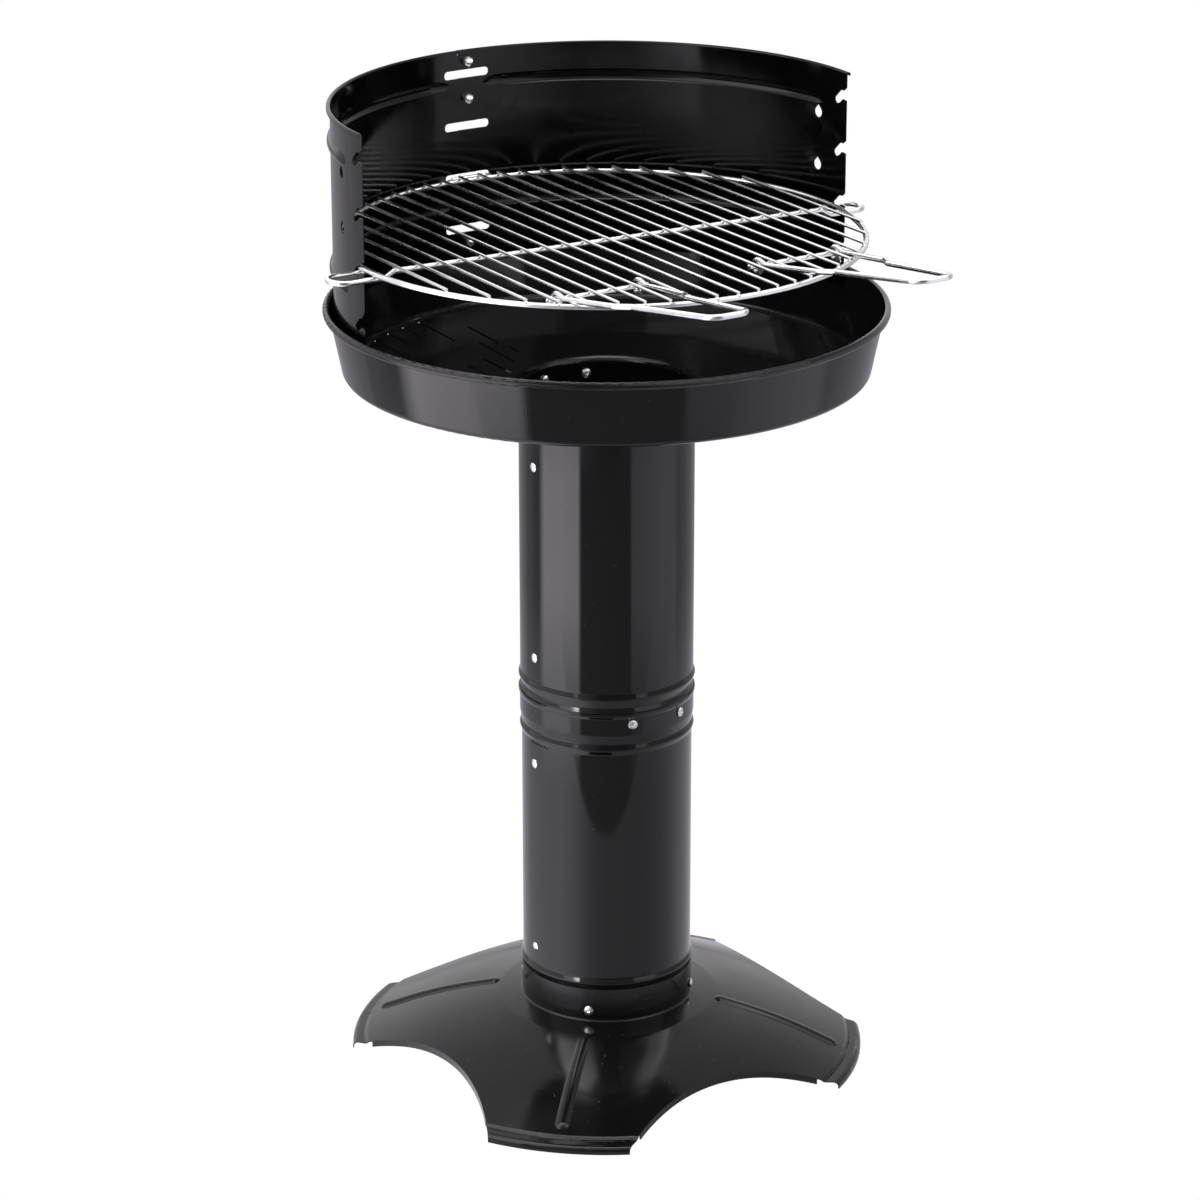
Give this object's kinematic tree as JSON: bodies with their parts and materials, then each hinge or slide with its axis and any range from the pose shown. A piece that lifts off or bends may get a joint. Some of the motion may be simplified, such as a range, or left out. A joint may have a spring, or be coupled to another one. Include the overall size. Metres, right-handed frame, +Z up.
{
  "type": "column charcoal barbecue",
  "caption": "Charcoal barbecue on a tubular column: pressed foot, shallow round bowl, notched windshield and a round wire grate with folding wire handles.",
  "frame": {"origin": "on the floor, on the column's axis", "axes": "+Z up along the column, -Y towards the cook and the grate's handles, +X to the cook's right"},
  "size_m": [0.533, 0.6113, 0.8964],
  "materials": {
    "black_enamel": "glossy vitreous enamel",
    "chrome_wire": "bright chrome plate",
    "zinc_steel": "zinc plated"
  },
  "bodies": {
    "stand": {"base_foot": "black_enamel", "collar_screws": "zinc_steel", "collar_nuts": "zinc_steel", "lower_column": "black_enamel", "lower_seam_rivets": "zinc_steel", "upper_column": "black_enamel", "upper_seam_rivets": "zinc_steel", "joint_screws": "zinc_steel", "joint_nuts": "zinc_steel", "bowl": "black_enamel", "neck_screws": "zinc_steel", "neck_nuts": "zinc_steel", "shield_left": "black_enamel", "shield_right": "black_enamel", "seam_bolts": "zinc_steel", "seam_nuts": "zinc_steel"},
    "grate": {"grate_ring": "chrome_wire", "grate_wires": "chrome_wire", "grate_crossbar": "chrome_wire", "grate_tongue": "chrome_wire", "handle_bars": "chrome_wire"},
    "left_handle": {"handle_left": "chrome_wire"},
    "right_handle": {"handle_right": "chrome_wire"}
  },
  "joints": [
    {"name": "grate_lift", "type": "slide", "parent": "stand", "child": "grate", "axis": [0, -0.8339, 0.5519], "range_m": [0, 0.26]},
    {"name": "handle_left_fold", "type": "hinge", "parent": "grate", "child": "left_handle", "pos_m": [-0.107, -0.157, 0.77669], "axis": [-1, 0, 0], "range_deg": [0, 160]},
    {"name": "handle_right_fold", "type": "hinge", "parent": "grate", "child": "right_handle", "pos_m": [0.094, -0.157, 0.77669], "axis": [-1, 0, 0], "range_deg": [0, 160]}
  ]
}
